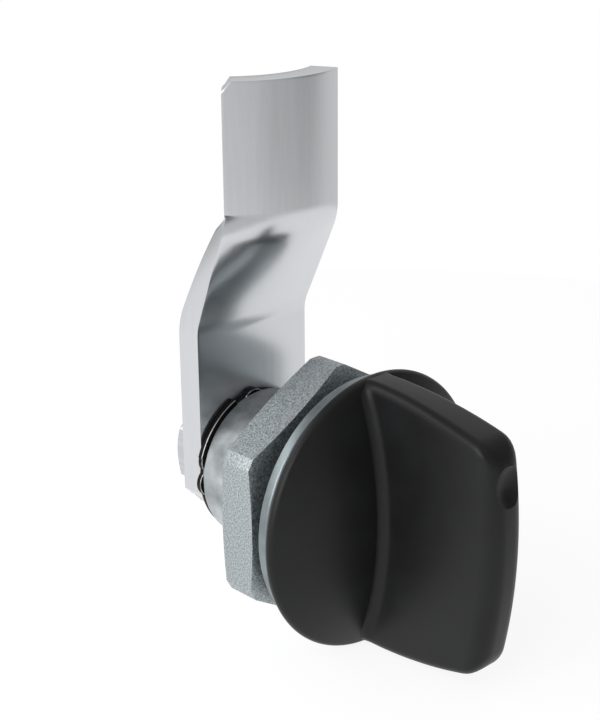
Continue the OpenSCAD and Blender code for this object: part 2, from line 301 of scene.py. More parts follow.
def block(name: str, low: Sequence[float], high: Sequence[float]) -> Piece:
    """Adds a block between two corners.

    Args:
        name: Name of the new object.
        low: Its lowest corner.
        high: Its highest corner.

    Returns:
        The object, with its place in its mesh.
    """
    deselect()
    middle = [(a + b) / 2.0 for a, b in zip(low, high)]
    bpy.ops.mesh.primitive_cube_add(size=1.0, location=metres(*middle))
    bpy.context.object.scale = metres(*[b - a for a, b in zip(low, high)])
    return placed(name)


def apply_modifier(piece: Piece, kind: str, **settings: object) -> None:
    """Adds a modifier with its settings and applies it.

    Args:
        piece: The object to change.
        kind: Blender's name of the modifier.
        **settings: Its settings.
    """
    take(piece)
    modifier = piece.modifiers.new(kind.title(), kind)
    for key, value in settings.items():
        setattr(modifier, key, value)
    bpy.ops.object.modifier_apply(modifier=modifier.name)


def combine(piece: Piece, tool: Piece, cut: Cut) -> None:
    """Joins, cuts or meets a piece with a tool, which is used up."""
    apply_modifier(piece, "BOOLEAN", object=tool, operation=cut.value, solver="EXACT")
    bpy.data.objects.remove(tool)


def round_edges(piece: Piece, width: float, over: float) -> None:
    """Rounds the sharp edges of a piece.

    Args:
        piece: The object to change.
        width: Width of the rounding.
        over: Angle in degrees from which an edge counts as sharp.
    """
    apply_modifier(
        piece,
        "BEVEL",
        width=width * MM,
        segments=EDGE_STEPS,
        limit_method="ANGLE",
        angle_limit=math.radians(over),
        use_clamp_overlap=True,
    )


def shade(piece: Piece, under: float) -> None:
    """Shades a piece smoothly across its blunt edges.

    Args:
        piece: The object to change.
        under: Angle in degrees under which an edge counts as blunt.
    """
    take(piece)
    bpy.ops.object.shade_smooth_by_angle(angle=math.radians(under))


def settle(piece: Piece, body: Body, node: str) -> None:
    """Lets a finished piece ride on its body in place of a CAD node.

    Args:
        piece: The finished object.
        body: The body that it moves with.
        node: The CAD node that it stands for.
    """
    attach(piece, body.value)
    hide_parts(node)
    LOG.info("%s stands for %s: %d faces", piece.name, node, len(piece.data.polygons))


# Finishes


def add_node(
    tree: Tree,
    kind: str,
    settings: dict[str, object] | None = None,
    values: dict[str, object] | None = None,
    links: dict[str, Socket] | None = None,
) -> Node:
    """Adds a node with its settings, values and links.

    Args:
        tree: The node tree to add to.
        kind: Blender's name of the node's type.
        settings: Settings of the node itself.
        values: Values of its inputs, by name or number.
        links: Sockets to link to its inputs, by name or number.

    Returns:
        The new node.
    """
    node = tree.nodes.new(kind)
    for key, value in (settings or {}).items():
        setattr(node, key, value)
    for key, value in (values or {}).items():
        node.inputs[key].default_value = value
    for key, socket in (links or {}).items():
        tree.links.new(socket, node.inputs[key])
    return node


def ramp(node: Node, *stops: tuple[float, Colour]) -> Socket:
    """Sets the stops of a colour ramp.

    Args:
        node: The ramp's node.
        *stops: Places and colours, in order.

    Returns:
        The ramp's colour output.
    """
    elements = node.color_ramp.elements
    while len(elements) < len(stops):
        elements.new(1.0)
    for element, (position, colour) in zip(elements, stops):
        element.position = position
        element.color = colour
    return node.outputs["Color"]


def grey(value: float) -> Colour:
    """Gives a neutral linear colour."""
    return value, value, value, 1.0


WHITE = grey(1.0)


@dataclass(frozen=True)
class Finish:
    """A surface: what the material is, and what its making leaves on it."""

    name: str
    dark: str
    light: str
    rough_low: float
    rough_high: float
    metallic: float = 0.0

    def material(self) -> bpy.types.Material:
        """Makes the material the first time and gives the same one after that.

        Returns:
            The material.
        """
        made = bpy.data.materials.get(self.name)
        if made:
            return made
        made = bpy.data.materials.new(self.name)
        made.use_nodes = True
        tree = made.node_tree
        shader = tree.nodes["Principled BSDF"]
        shader.inputs["Metallic"].default_value = self.metallic
        place = add_node(tree, "ShaderNodeTexCoord").outputs["Object"]
        self.paint(tree, shader, place)
        return made

    def dress(self, piece: Piece) -> None:
        """Adds the finish to a piece."""
        piece.data.materials.append(self.material())

    def paint(self, tree: Tree, shader: Node, place: Socket) -> None:
        """Adds the pattern of the finish to its shader.

        Args:
            tree: The material's node tree.
            shader: Its shader.
            place: Coordinates in metres.
        """
        raise NotImplementedError

    def tint(self, tree: Tree, shader: Node, share: Socket) -> None:
        """Spreads colour and roughness between their two ends.

        Args:
            tree: The material's node tree.
            shader: Its shader.
            share: A pattern from 0 to 1.
        """
        colours = add_node(tree, "ShaderNodeValToRGB", links={"Fac": share})
        tone = ramp(colours, (PATTERN_LOW, linear(self.dark)), (PATTERN_HIGH, linear(self.light)))
        tree.links.new(tone, shader.inputs["Base Color"])
        spread = add_node(
            tree,
            "ShaderNodeMapRange",
            values={
                "From Min": PATTERN_LOW,
                "From Max": PATTERN_HIGH,
                "To Min": self.rough_low,
                "To Max": self.rough_high,
            },
            links={"Value": share},
        )
        tree.links.new(spread.outputs["Result"], shader.inputs["Roughness"])

    def emboss(self, tree: Tree, shader: Node, height: Socket, depth: float, strength: float) -> None:
        """Adds fine relief.

        Args:
            tree: The material's node tree.
            shader: Its shader.
            height: The relief's pattern.
            depth: Its depth in millimetres.
            strength: Share of it that shows.
        """
        bump = add_node(
            tree,
            "ShaderNodeBump",
            values={"Strength": strength, "Distance": depth * MM},
            links={"Height": height},
        )
        tree.links.new(bump.outputs["Normal"], shader.inputs["Normal"])


def grains(tree: Tree, place: Socket, size: float, detail: float) -> Socket:
    """Adds a cloud of grains.

    Args:
        tree: The material's node tree.
        place: Coordinates in metres.
        size: Size of a grain in millimetres.
        detail: Number of finer layers.

    Returns:
        The pattern, from 0 to 1.
    """
    noise = add_node(
        tree,
        "ShaderNodeTexNoise",
        values={"Scale": 1.0 / (size * MM), "Detail": detail, "Roughness": CLOUD_ROUGHNESS},
        links={"Vector": place},
    )
    return noise.outputs[0]


class MouldedNylon(Finish):
    """Glass-filled nylon from a finely eroded mould: deep black with a broad, soft gloss."""

    GLOSS = 0.25

    def paint(self, tree: Tree, shader: Node, place: Socket) -> None:
        """Adds slow clouds in the gloss and the mould's grain, drawn coarser than life so that it shows."""
        shader.inputs["Specular IOR Level"].default_value = self.GLOSS
        self.tint(tree, shader, grains(tree, place, size=6.0, detail=3.0))
        self.emboss(tree, shader, grains(tree, place, size=0.22, detail=2.0), depth=0.012, strength=0.35)


class RolledZincSteel(Finish):
    """Cold-rolled strip with bright zinc: a soft mirror, drawn out a little along the rolling direction."""

    # The streaks are drawn out along the cam's length
    DRAWN_OUT = (1.0, 1.0, 0.06)

    def paint(self, tree: Tree, shader: Node, place: Socket) -> None:
        """Adds faint rolling streaks along the cam's length."""
        drawn = add_node(
            tree, "ShaderNodeMapping", values={"Scale": self.DRAWN_OUT}, links={"Vector": place}
        )
        streaks = grains(tree, drawn.outputs["Vector"], size=0.5, detail=3.0)
        self.tint(tree, shader, streaks)
        self.emboss(tree, shader, streaks, depth=0.002, strength=0.1)


class BlastedZinc(Finish):
    """Zinc casting blasted with grit: a matt grey that sparkles from grain to grain."""

    def paint(self, tree: Tree, shader: Node, place: Socket) -> None:
        """Adds the grit's pits, in colour and in relief."""
        pits = grains(tree, place, size=0.18, detail=1.0)
        self.tint(tree, shader, pits)
        self.emboss(tree, shader, pits, depth=0.03, strength=0.8)


class PlatedCasting(Finish):
    """Zinc casting under thin plating: smooth, with slow waves in its gloss from the mould."""

    def paint(self, tree: Tree, shader: Node, place: Socket) -> None:
        """Adds the mould's slow waves."""
        waves = grains(tree, place, size=3.2, detail=3.0)
        self.tint(tree, shader, waves)
        self.emboss(tree, shader, waves, depth=0.12, strength=0.4)


class TurnedSteel(Finish):
    """Steel from the lathe under zinc: fine rings round the latch axis."""

    # Millimetres from ring to ring
    PITCH = 0.25
    # What the wave texture multiplies its scale by
    WAVE_UNIT = 20.0

    def paint(self, tree: Tree, shader: Node, place: Socket) -> None:
        """Adds the tool's rings, drawn coarser than life so that they show."""
        scale = math.tau / (self.PITCH * MM) / self.WAVE_UNIT
        rings = add_node(
            tree,
            "ShaderNodeTexWave",
            {"wave_type": "RINGS", "rings_direction": "Y"},
            values={"Scale": scale, "Distortion": 0.6, "Detail": 2.0},
            links={"Vector": place},
        )
        self.tint(tree, shader, rings.outputs["Fac"])
        self.emboss(tree, shader, rings.outputs["Fac"], depth=0.0006, strength=0.25)


class MouldedRubber(Finish):
    """Moulded nitrile rubber: matt black with a dusty bloom."""

    def paint(self, tree: Tree, shader: Node, place: Socket) -> None:
        """Adds the bloom's blotches."""
        self.tint(tree, shader, grains(tree, place, size=0.8, detail=3.0))


class BlackenedSteel(Finish):
    """Steel strip blackened in a hot bath: near black with a thin oily gloss."""

    GLOSS = 0.12

    def paint(self, tree: Tree, shader: Node, place: Socket) -> None:
        """Adds the bath's uneven tone."""
        shader.inputs["Specular IOR Level"].default_value = self.GLOSS
        self.tint(tree, shader, grains(tree, place, size=1.2, detail=3.0))


NYLON = MouldedNylon("black glass-filled nylon, moulded", "#161617", "#1c1d1e", 0.36, 0.44)
CAM_STEEL = RolledZincSteel("zinc-plated steel strip, rolled", "#d1d3d6", "#d4d6d9", 0.22, 0.25, 1.0)
NUT_ZINC = BlastedZinc("zinc die casting, blasted", "#868d90", "#cbd2d5", 0.42, 0.6, 1.0)
SLEEVE_ZINC = PlatedCasting("zinc die casting, plated", "#8e9396", "#c9ced1", 0.34, 0.46, 1.0)
# The flange's darker colour is painted shade, for the shade under the knob's overhang
FLANGE_ZINC_SHADED = PlatedCasting(
    "zinc die casting, plated, with painted shade", "#7d8689", "#949da0", 0.34, 0.46, 1.0
)
FASTENER_STEEL = TurnedSteel("steel, turned and zinc-plated", "#c3c7cb", "#c9cdd0", 0.28, 0.31, 1.0)
SEAL_RUBBER = MouldedRubber("nitrile rubber, moulded", "#161616", "#222324", 0.6, 0.75)
DISC_STEEL = BlackenedSteel("steel strip, blackened", "#0b0b0c", "#131415", 0.4, 0.55)
# Bright steel on the disc's front edge band is a painted highlight: it draws the rim's bright highlight
# line
DISC_EDGE_HIGHLIGHT = TurnedSteel("steel edge, painted highlight", "#8f8f8c", "#b9b8b4", 0.25, 0.35, 1.0)


def coat(piece: Piece, test: Test, finish: Finish) -> None:
    """Gives some faces of a piece a finish of their own.

    Args:
        piece: The object to dress.
        test: Says whether the middle of a face counts.
        finish: The finish of those faces.
    """
    finish.dress(piece)
    take(piece)
    bpy.ops.object.mode_set(mode="EDIT")
    select_where(test, Pick.FACES)
    piece.active_material_index = len(piece.data.materials) - 1
    bpy.ops.object.material_slot_assign()
    bpy.ops.object.mode_set(mode="OBJECT")


# Sub-assemblies


@dataclass
class WingKnob:
    """The black knob: a domed base, an upright wing in hollow fillets and a pointer mark."""

    back: float = -1.9
    radius: float = 15.6
    rim_r: float = 0.7
    dome_h: float = 4.25
    root_h: float = 31.0
    front_h: float = 26.6
    reach: float = 21.4
    waist_t: float = 4.2
    front_t: float = 5.0
    fillet: float = 1.15
    fillet_fade: float = 1.6
    edge_r: float = 1.9
    top_r: float = 1.1
    corner_r: float = 3.0
    bulge: float = 1.5
    bulge_z: float = 1.5
    taper: float = 1.7
    mark_h: float = 4.4
    mark_depth: float = 0.8
    mark_z: float = 8.9
    head_w: float = 12.04
    head_t: float = 2.22
    edge_share: float = 0.8
    blunt: float = 32.0
    foot_steps: tuple[float, ...] = (0.015, 0.05, 0.1, 0.17, 0.26, 0.38, 0.53, 0.72, 1.0)
    face_steps: int = 14
    edge_steps: tuple[float, ...] = (1.0, 0.8, 0.62, 0.46, 0.32, 0.2, 0.11, 0.05, 0.012, 0.0)
    corner_steps: int = 8
    side_cuts: int = 36
    rim_steps: int = 20
    cap_steps: int = 24
    turn_steps: int = 160
    mark_steps: tuple[int, int] = (96, 64)

    def __post_init__(self) -> None:
        """Works out the sphere that the dome is a cap of."""
        self.rim_c = self.radius - self.rim_r
        rise = self.dome_h - self.rim_r
        self.cap_r = (self.rim_c**2 + rise**2 - self.rim_r**2) / (2.0 * (rise - self.rim_r))
        self.cap_c = self.dome_h - self.cap_r
        self.rim_angle = math.degrees(math.asin(self.rim_c / (self.cap_r - self.rim_r)))
        fall = (self.root_h - self.front_h) / 2.0 * self.taper
        half = self.front_h / 2.0
        run = self.front_at(half) - self.corner_r - self.fillet - self.dome_at(half)
        self.corner_run = self.corner_r * (1.0 - math.sin(math.atan2(fall, run)))

    def dome_at(self, radius: float) -> float:
        """Gives how far the dome stands in front of the panel seat.

        Args:
            radius: Distance from the latch axis.

        Returns:
            The distance along the axis.
        """
        if radius < self.cap_r * math.sin(math.radians(self.rim_angle)):
            return -self.back + self.cap_c + math.sqrt(self.cap_r**2 - radius**2)
        inside = self.rim_r**2 - (min(radius, self.radius) - self.rim_c) ** 2
        return -self.back + self.rim_r + math.sqrt(max(0.0, inside))

    def front_at(self, z: float) -> float:
        """Gives how far the wing's front stands in front of the panel seat at a height."""
        return self.reach - self.bulge * (2.0 * (z - self.bulge_z) / self.front_h) ** 2

    def levels(self) -> Iterator[Level]:
        """Lists the places of the wing's rings, from its foot to its front.

        Yields:
            Share of the way to the front, height over the dome and distance to the front.
        """
        for share in self.foot_steps:
            yield 0.0, share * self.fillet, 0.0
        for step in range(1, self.face_steps):
            yield step / self.face_steps, self.fillet, self.corner_run
        for share in self.edge_steps:
            yield 1.0, 0.0, share * self.corner_run

    def half_sizes(self, level: Level) -> tuple[float, float, float]:
        """Works out the size of a ring.

        Args:
            level: The ring's place, as levels gives it.

        Returns:
            Half its thickness, half its height and its corner radius.
        """
        share, height, distance = level
        half_t = lerp(self.waist_t, self.front_t, smooth(share)) / 2.0
        half_h = lerp(self.root_h, self.front_h, share**self.taper) / 2.0
        if share == 0.0:
            half_t += round_loss(self.fillet, height)
        if share == 1.0:
            half_t -= round_loss(self.edge_r, distance)
            half_h -= round_loss(self.corner_r, distance) - round_loss(self.corner_r, self.corner_run)
        return half_t, half_h, min(self.top_r, self.edge_share * half_t)

    def fade(self, level: Level, z: float) -> float:
        """Narrows a ring of the fillet, which runs out towards the wing's upper and lower end.

        Args:
            level: The ring's place, as levels gives it.
            z: Height above the latch axis.

        Returns:
            The share of the ring's thickness that is left there.
        """
        if level[0] > 0.0:
            return 1.0
        waist = self.waist_t / 2.0 / self.half_sizes(level)[0]
        return lerp(waist, 1.0, smooth((self.root_h / 2.0 - abs(z)) / self.fillet_fade))

    def wing(self) -> Piece:
        """Pulls the wing out of a rounded outline, ring by ring.

        Returns:
            The closed wing, whose foot lies inside the dome.
        """
        levels = list(self.levels())
        half_t, half_h, corner = self.half_sizes(levels[0])
        deselect()
        bpy.ops.mesh.primitive_plane_add(size=2.0 * MM, rotation=(math.pi / 2.0, 0.0, 0.0))
        piece = placed("wing")
        bpy.ops.object.mode_set(mode="EDIT")
        bpy.ops.transform.resize(value=(half_t, 1.0, half_h))
        bpy.ops.transform.translate(value=metres(0.0, self.back - self.rim_r, 0.0))
        bpy.ops.mesh.bevel(
            offset=corner * MM, segments=self.corner_steps, affect="VERTICES", clamp_overlap=True
        )
        select_where(lambda p: abs(p.z) < NEAR, Pick.EDGES)
        bpy.ops.mesh.subdivide(number_cuts=self.side_cuts)
        bpy.ops.mesh.select_mode(type="FACE")
        bpy.ops.mesh.select_all(action="SELECT")
        last = levels[0]
        lay_selected(lambda p: Vector((p.x * self.fade(last, p.z), p.y, p.z)))
        for level in levels:
            bpy.ops.mesh.extrude_region_move(TRANSFORM_OT_translate={"value": metres(0.0, -NEAR, 0.0)})
            lay_selected(lambda p, old=last, new=level: self.ring_place(p, old, new))
            last = level
        bpy.ops.mesh.extrude_region_move(TRANSFORM_OT_translate={"value": (0.0, 0.0, 0.0)})
        bpy.ops.transform.resize(value=(0.0, 1.0, 1.0))
        bpy.ops.mesh.delete(type="ONLY_FACE")
        close_mesh()
        return piece

    def ring_place(self, point: Vector, last: Level, level: Level) -> Vector:
        """Carries a point of one ring over to the next.

        Args:
            point: The point on the last ring.
            last: The last ring's place, as levels gives it.
            level: This ring's place.

        Returns:
            The point on this ring.
        """
        old_t, old_h, old_r = self.half_sizes(last)
        new_t, new_h, new_r = self.half_sizes(level)
        across = point.x / self.fade(last, point.z)
        inner_x = min(old_t - old_r, max(old_r - old_t, across))
        inner_z = min(old_h - old_r, max(old_r - old_h, point.z))
        x = inner_x * (new_t - new_r) / (old_t - old_r) + (across - inner_x) * new_r / old_r
        z = inner_z * (new_h - new_r) / (old_h - old_r) + (point.z - inner_z) * new_r / old_r
        x *= self.fade(level, z)
        root = self.dome_at(math.hypot(x, z)) + level[1]
        return Vector((x, -lerp(root, self.front_at(z) - level[2], level[0]), z))

    def dome(self) -> Piece:
        """Turns the domed base.

        Returns:
            The closed base.
        """
        rim = arc((self.rim_c, self.rim_r), self.rim_r, -90.0, 90.0 - self.rim_angle, self.rim_steps)
        cap = arc((0.0, self.cap_c), self.cap_r, 90.0 - self.rim_angle, 90.0, self.cap_steps)
        profile = [(0.0, 0.0), (self.rim_c / 2.0, 0.0)] + rim + cap[1:]
        places = [(max(0.0, r), self.back - h) for r, h in profile]
        return turned("wing_knob_moulding", places, self.turn_steps)

    def build(self) -> None:
        """Models and dresses the knob."""
        piece = self.dome()
        combine(piece, self.wing(), Cut.UNION)
        ball_r = ((self.mark_h / 2.0) ** 2 + self.mark_depth**2) / (2.0 * self.mark_depth)
        deselect()
        bpy.ops.mesh.primitive_uv_sphere_add(
            segments=self.mark_steps[0],
            ring_count=self.mark_steps[1],
            radius=ball_r * MM,
            location=metres(0.0, self.mark_depth - ball_r - self.front_at(self.mark_z), self.mark_z),
        )
        combine(piece, bpy.context.object, Cut.DIFFERENCE)
        half = self.head_w / 2.0
        pocket = block("pocket", (-half, self.back - self.head_t, -half), (half, self.back + CLEAR, half))
        combine(piece, pocket, Cut.DIFFERENCE)
        shade(piece, self.blunt)
        NYLON.dress(piece)
        settle(piece, Body.ROTOR, "wing_knob")


@dataclass
class Housing:
    """The casting: a chamfered flange, a sleeve through the panel and a stop lug on its end."""

    flange_r: float = 14.5
    flange_t: float = 1.3
    chamfer: float = 0.3
    sleeve_r: float = 8.8
    sleeve_len: float = 15.7
    sleeve_chamfer: float = 0.3
    bore_r: float = 5.05
    pocket_r: float = 11.2
    pocket_t: float = 0.6
    lug_in_r: float = 5.95
    lug_out_r: float = 7.25
    lug_at: float = 3.0
    lug_half: float = 5.0
    lug_h: float = 0.59
    edge: float = 0.1
    blunt: float = 30.0
    turn_steps: int = 180

    def profile(self) -> list[Point]:
        """Goes round the casting's section, from the bore's front edge and back to it.

        Returns:
            Points as (radius, y).
        """
        end = self.sleeve_len
        return [
            (self.bore_r, -self.flange_t),
            (self.flange_r - self.chamfer, -self.flange_t),
            (self.flange_r, self.chamfer - self.flange_t),
            (self.flange_r, 0.0),
            (self.pocket_r, 0.0),
            (self.pocket_r, -self.pocket_t),
            (self.sleeve_r, -self.pocket_t),
            (self.sleeve_r, end - self.sleeve_chamfer),
            (self.sleeve_r - self.sleeve_chamfer, end),
            (self.lug_out_r, end),
            (self.lug_in_r, end),
            (self.bore_r, end),
            (self.bore_r, -self.flange_t),
        ]

    def in_lug(self, point: Vector) -> bool:
        """Says whether a place on the sleeve's end belongs to the stop lug.

        Args:
            point: The place.

        Returns:
            True where it does.
        """
        angle = math.degrees(math.atan2(-point.x, point.z))
        radius = math.hypot(point.x, point.z)
        inside = abs(angle - self.lug_at) < self.lug_half and self.lug_in_r < radius < self.lug_out_r
        return inside and abs(point.y - self.sleeve_len) < NEAR

    def on_flange(self, point: Vector) -> bool:
        """Says whether a place belongs to the flange."""
        return point.y < NEAR and math.hypot(point.x, point.z) > self.pocket_r

    def build(self) -> None:
        """Models and dresses the housing."""
        piece = turned("housing_casting", self.profile(), self.turn_steps)
        bpy.ops.object.mode_set(mode="EDIT")
        select_where(self.in_lug, Pick.FACES)
        bpy.ops.mesh.extrude_region_move(TRANSFORM_OT_translate={"value": metres(0.0, self.lug_h, 0.0)})
        bpy.ops.object.mode_set(mode="OBJECT")
        SLEEVE_ZINC.dress(piece)
        round_edges(piece, self.edge, self.blunt)
        # The flange's faces take the darker colour of painted shade
        coat(piece, self.on_flange, FLANGE_ZINC_SHADED)
        shade(piece, self.blunt)
        settle(piece, Body.HOUSING, "housing")


@dataclass
class HexNut:
    """The hexagon nut, its corners turned down and chamfered on both sides."""

    across: float = 27.0
    corner_r: float = 15.2
    chamfer: float = 0.4
    bore_r: float = 8.82
    start: float = 2.05
    thick: float = 4.7
    edge: float = 0.15
    sharp: float = 22.0
    blunt: float = 20.0
    turn_steps: int = 240
    bore_steps: int = 180

    def build(self) -> None:
        """Models and dresses the nut."""
        start, end, flat = self.start, self.start + self.thick, self.across / 2.0
        piece = prism("hexagon_nut", 6, flat / math.cos(math.pi / 6.0), start - CLEAR, end + CLEAR)
        profile = [
            (0.0, start),
            (flat, start),
            (self.corner_r, start + self.chamfer),
            (self.corner_r, end - self.chamfer),
            (flat, end),
            (0.0, end),
        ]
        combine(piece, turned("turning", profile, self.turn_steps), Cut.INTERSECT)
        bore = prism("bore", self.bore_steps, self.bore_r, start - CLEAR, end + CLEAR)
        combine(piece, bore, Cut.DIFFERENCE)
        round_edges(piece, self.edge, self.sharp)
        shade(piece, self.blunt)
        NUT_ZINC.dress(piece)
        settle(piece, Body.HOUSING, "hex_nut")


@dataclass
class StopDisc:
    """The thin black disc between sleeve and cam, with a raised sector and teeth."""

    start: float = 15.76
    thick: float = 0.65
    radius: float = 8.5
    sector_r: float = 9.1
    sector: Point = (22.0, 72.0)
    tooth_reach: float = 9.0
    tooth_r: float = 1.7
    teeth: tuple[float, ...] = (4.0, 72.0, 93.0)
    square: float = 7.1
    slot_in_r: float = 5.75
    slot_out_r: float = 7.45
    slot: Point = (-3.5, 99.5)
    edge: float = 0.08
    # Depth from the rim of the band that gets the painted highlight
    highlight_depth: float = 0.12
    sharp: float = 40.0
    blunt: float = 30.0
    rim_steps: int = 540
    slot_steps: int = 60

    def rim_at(self, angle: float) -> float:
        """Gives the disc's radius at an angle.

        Args:
            angle: Degrees from straight up, over the left of someone who faces the knob.

        Returns:
            The radius there.
        """
        rim = self.sector_r if self.sector[0] <= angle <= self.sector[1] else self.radius
        centre = self.tooth_reach - self.tooth_r
        for tooth in self.teeth:
            off = math.radians(angle - tooth)
            inside = self.tooth_r**2 - (centre * math.sin(off)) ** 2
            if math.cos(off) > 0.0 and inside > 0.0:
                rim = max(rim, centre * math.cos(off) + math.sqrt(inside))
        return rim

    def rim_place(self, point: Vector) -> Vector:
        """Carries a point of a plain disc's edge out to the rim."""
        grow = self.rim_at(math.degrees(math.atan2(-point.x, point.z))) / self.radius
        return Vector((point.x * grow, point.y, point.z * grow))

    def on_front_edge(self, point: Vector) -> bool:
        """Says whether a place lies on the rounded edge between the rim and the disc's front, which gets
        the painted highlight.
        """
        depth = self.rim_at(math.degrees(math.atan2(-point.x, point.z))) - math.hypot(point.x, point.z)
        return point.y < self.start + self.edge and depth < self.highlight_depth

    def stop_slot(self) -> Piece:
        """Spins the cutter of the slot that the housing's lug runs in.

        Returns:
            The closed cutter.
        """
        deselect()
        place = metres(0.0, self.start + self.thick / 2.0, (self.slot_in_r + self.slot_out_r) / 2.0)
        bpy.ops.mesh.primitive_plane_add(size=MM, location=place)
        piece = placed("slot")
        bpy.ops.object.mode_set(mode="EDIT")
        lay_selected(
            lambda p: Vector(
                (
                    0.0,
                    self.start + (CLEAR + self.thick if p.y > self.start + self.thick / 2.0 else -CLEAR),
                    self.slot_out_r if p.x > 0.0 else self.slot_in_r,
                )
            )
        )
        turn = Matrix.Rotation(math.radians(-self.slot[0]), 4, "Y")
        lay_selected(lambda p: turn @ p)
        sweep = math.radians(self.slot[1] - self.slot[0])
        bpy.ops.mesh.spin(steps=self.slot_steps, angle=sweep, center=(0, 0, 0), axis=(0, 1, 0))
        close_mesh()
        return piece

    def build(self) -> None:
        """Models and dresses the disc."""
        end = self.start + self.thick
        piece = prism("stop_disc_strip", self.rim_steps, self.radius, self.start, end)
        bpy.ops.object.mode_set(mode="EDIT")
        bpy.ops.mesh.select_all(action="SELECT")
        lay_selected(self.rim_place)
        bpy.ops.object.mode_set(mode="OBJECT")
        half = self.square / 2.0
        hole = block("square", (-half, self.start - CLEAR, -half), (half, end + CLEAR, half))
        combine(piece, hole, Cut.DIFFERENCE)
        combine(piece, self.stop_slot(), Cut.DIFFERENCE)
        DISC_STEEL.dress(piece)
        round_edges(piece, self.edge, self.sharp)
        # The front edge band gets the bright painted highlight
        coat(piece, self.on_front_edge, DISC_EDGE_HIGHLIGHT)
        shade(piece, self.blunt)
        settle(piece, Body.ROTOR, "stop_disc")


@dataclass
class Cam:
    """The cam: a strip bent forward along a ramp, its tip crowned and turned towards one edge."""

    start: float = 16.43
    thick: float = 3.15
    width: float = 16.3
    reach: float = 45.1
    jog: float = 5.6
    ramp_start: float = 17.8
    ramp_angle: float = 26.0
    bend_r: float = 6.0
    crown: float = 35.0
    crown_lag: float = 1.4
    turn: float = 9.0
    tip_w: float = 13.95
    tip_edge: float = 7.5
    tip_chamfer: float = 1.1
    shoulder: float = 2.1
    tail: float = 7.6
    square: float = 7.1
    edge: float = 0.14
    sharp: float = 40.0
    blunt: float = 30.0
    least_crown: float = 0.01
    across_steps: int = 36
    along_steps: int = 150

    def __post_init__(self) -> None:
        """Works out where the bends start and end."""
        slope = math.radians(self.ramp_angle)
        self.middle_y = self.start + self.thick / 2.0
        self.bend_run = self.bend_r * math.tan(slope / 2.0)
        self.ramp_top = self.ramp_start + self.jog / math.tan(slope)
        self.low = self.ramp_start - self.bend_run
        self.high = self.ramp_top + self.bend_run

    def path(self, z: float) -> tuple[float, float]:
        """Gives the place along the latch axis and the slope of the sheet's middle at a height.

        Args:
            z: Height above the latch axis.

        Returns:
            The place along the axis, and the slope in radians.
        """
        slope = math.radians(self.ramp_angle)
        rise = self.bend_r * math.sin(slope)
        low, high = self.low, self.high
        if z <= low:
            return self.middle_y, 0.0
        if z >= high:
            return self.middle_y - self.jog, 0.0
        if z < low + rise:
            angle = math.asin((z - low) / self.bend_r)
            return self.middle_y - self.bend_r * (1.0 - math.cos(angle)), angle
        if z > high - rise:
            angle = math.asin((high - z) / self.bend_r)
            return self.middle_y - self.jog + self.bend_r * (1.0 - math.cos(angle)), angle
        return self.middle_y - (z - self.ramp_start) * math.tan(slope), slope

    def bent(self, point: Vector) -> Vector:
        """Bends a point of the flat blank.

        Args:
            point: A point of the blank, in the plane of X and Z.

        Returns:
            Its place on the middle of the bent sheet.
        """
        y, slope = self.path(point.z)
        share = (point.z - self.low) / (self.high - self.low)
        grow = min(1.0, max(0.0, share)) ** self.crown_lag
        crown = math.radians(max(self.least_crown, self.crown * grow))
        turn = math.radians(self.turn * grow)
        radius = lerp(self.width, self.tip_w, grow) / 2.0 / crown
        angle = crown * point.x / (self.width / 2.0) - turn
        front = radius * (math.cos(angle) - math.cos(crown - turn))
        side = radius * (math.sin(angle) - math.sin(crown - turn))
        x = lerp(self.width / 2.0, self.tip_edge, grow) + side
        return Vector((x, y - front * math.cos(slope), point.z - front * math.sin(slope)))

    def blank(self) -> Piece:
        """Cuts the flat blank, with its lower corners and the tip's leading corner cut off.

        Returns:
            The blank, all selected in edit mode.
        """
        deselect()
        bpy.ops.mesh.primitive_grid_add(
            x_subdivisions=self.across_steps,
            y_subdivisions=self.along_steps,
            size=1.0,
            rotation=(math.pi / 2.0, 0.0, 0.0),
        )
        bpy.context.object.scale = metres(self.width, self.reach + self.tail, 1.0)
        bpy.context.object.location = metres(0.0, 0.0, (self.reach - self.tail) / 2.0)
        piece = placed("cam_strip")
        bpy.ops.object.mode_set(mode="EDIT")
        half = self.width / 2.0
        stretch = self.width / self.tip_w
        cuts = [
            ((half, -self.shoulder), (1.0, -1.0)),
            ((-half, -self.shoulder), (-1.0, -1.0)),
            ((-half, self.reach - self.tip_chamfer), (-1.0, stretch)),
        ]
        for (x, z), (across, up) in cuts:
            bpy.ops.mesh.select_all(action="SELECT")
            bpy.ops.mesh.bisect(
                plane_co=metres(x, 0.0, z), plane_no=(across, 0.0, up), clear_outer=True, use_fill=False
            )
        bpy.ops.mesh.select_all(action="SELECT")
        return piece

    def build(self) -> None:
        """Models and dresses the cam."""
        piece = self.blank()
        lay_selected(self.bent)
        bpy.ops.object.mode_set(mode="OBJECT")
        apply_modifier(
            piece,
            "SOLIDIFY",
            thickness=self.thick * MM,
            offset=0.0,
            use_even_offset=True,
            use_quality_normals=True,
        )
        bpy.ops.object.mode_set(mode="EDIT")
        close_mesh()
        half, end = self.square / 2.0, self.start + self.thick
        hole = block("square", (-half, self.start - CLEAR, -half), (half, end + CLEAR, half))
        combine(piece, hole, Cut.DIFFERENCE)
        round_edges(piece, self.edge, self.sharp)
        shade(piece, self.blunt)
        CAM_STEEL.dress(piece)
        settle(piece, Body.ROTOR, "cam")


